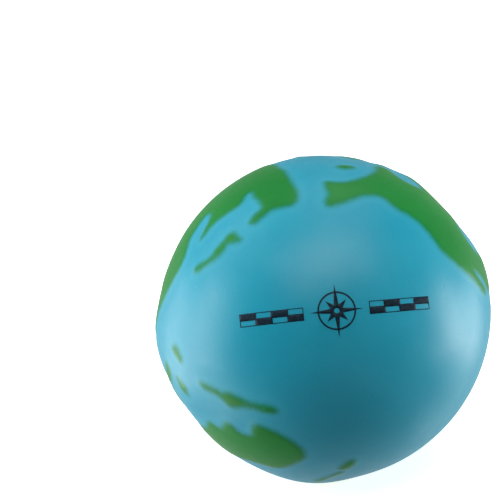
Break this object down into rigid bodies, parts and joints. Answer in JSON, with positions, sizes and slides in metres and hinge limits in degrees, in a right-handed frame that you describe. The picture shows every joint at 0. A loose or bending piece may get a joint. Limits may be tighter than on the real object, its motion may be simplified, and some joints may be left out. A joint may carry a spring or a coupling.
{
  "type": "globe stress ball",
  "caption": "Soft foam ball to squeeze in the hand, moulded and painted as a globe: blue sea, raised green continents and a small dark imprint on the ocean.",
  "frame": {"origin": "centre of the ball", "axes": "+Z through the north pole of the moulded globe; -Y through the middle of the Pacific, the side with the imprint; +X through the Americas"},
  "size_m": [0.072, 0.0718, 0.069],
  "materials": {
    "foam": "open-cell flexible polyurethane foam, matte",
    "foam_skin": "dense self-formed foam skin, matte",
    "sea_paint": "flexible sprayed paint, satin",
    "land_paint": "flexible sprayed paint, satin",
    "ink": "pad-printed ink, matte"
  },
  "bodies": {
    "root": {"foam_core": "foam", "integral_skin": "foam_skin", "sea_coat": "sea_paint", "imprint": "ink", "land_eurasia": "land_paint", "land_africa": "land_paint", "land_north_america": "land_paint", "land_south_america": "land_paint", "land_australia": "land_paint", "land_antarctica": "land_paint", "land_greenland": "land_paint", "land_baffin_island": "land_paint", "land_victoria_island": "land_paint", "land_newfoundland": "land_paint", "land_hispaniola": "land_paint", "land_iceland": "land_paint", "land_svalbard": "land_paint", "land_great_britain": "land_paint", "land_ireland": "land_paint", "land_madagascar": "land_paint", "land_sri_lanka": "land_paint", "land_sumatra": "land_paint", "land_java": "land_paint", "land_borneo": "land_paint", "land_sulawesi": "land_paint", "land_philippines": "land_paint", "land_new_guinea": "land_paint", "land_japan": "land_paint", "land_new_zealand": "land_paint", "land_subantarctic_islands": "land_paint"}
  },
  "joints": []
}
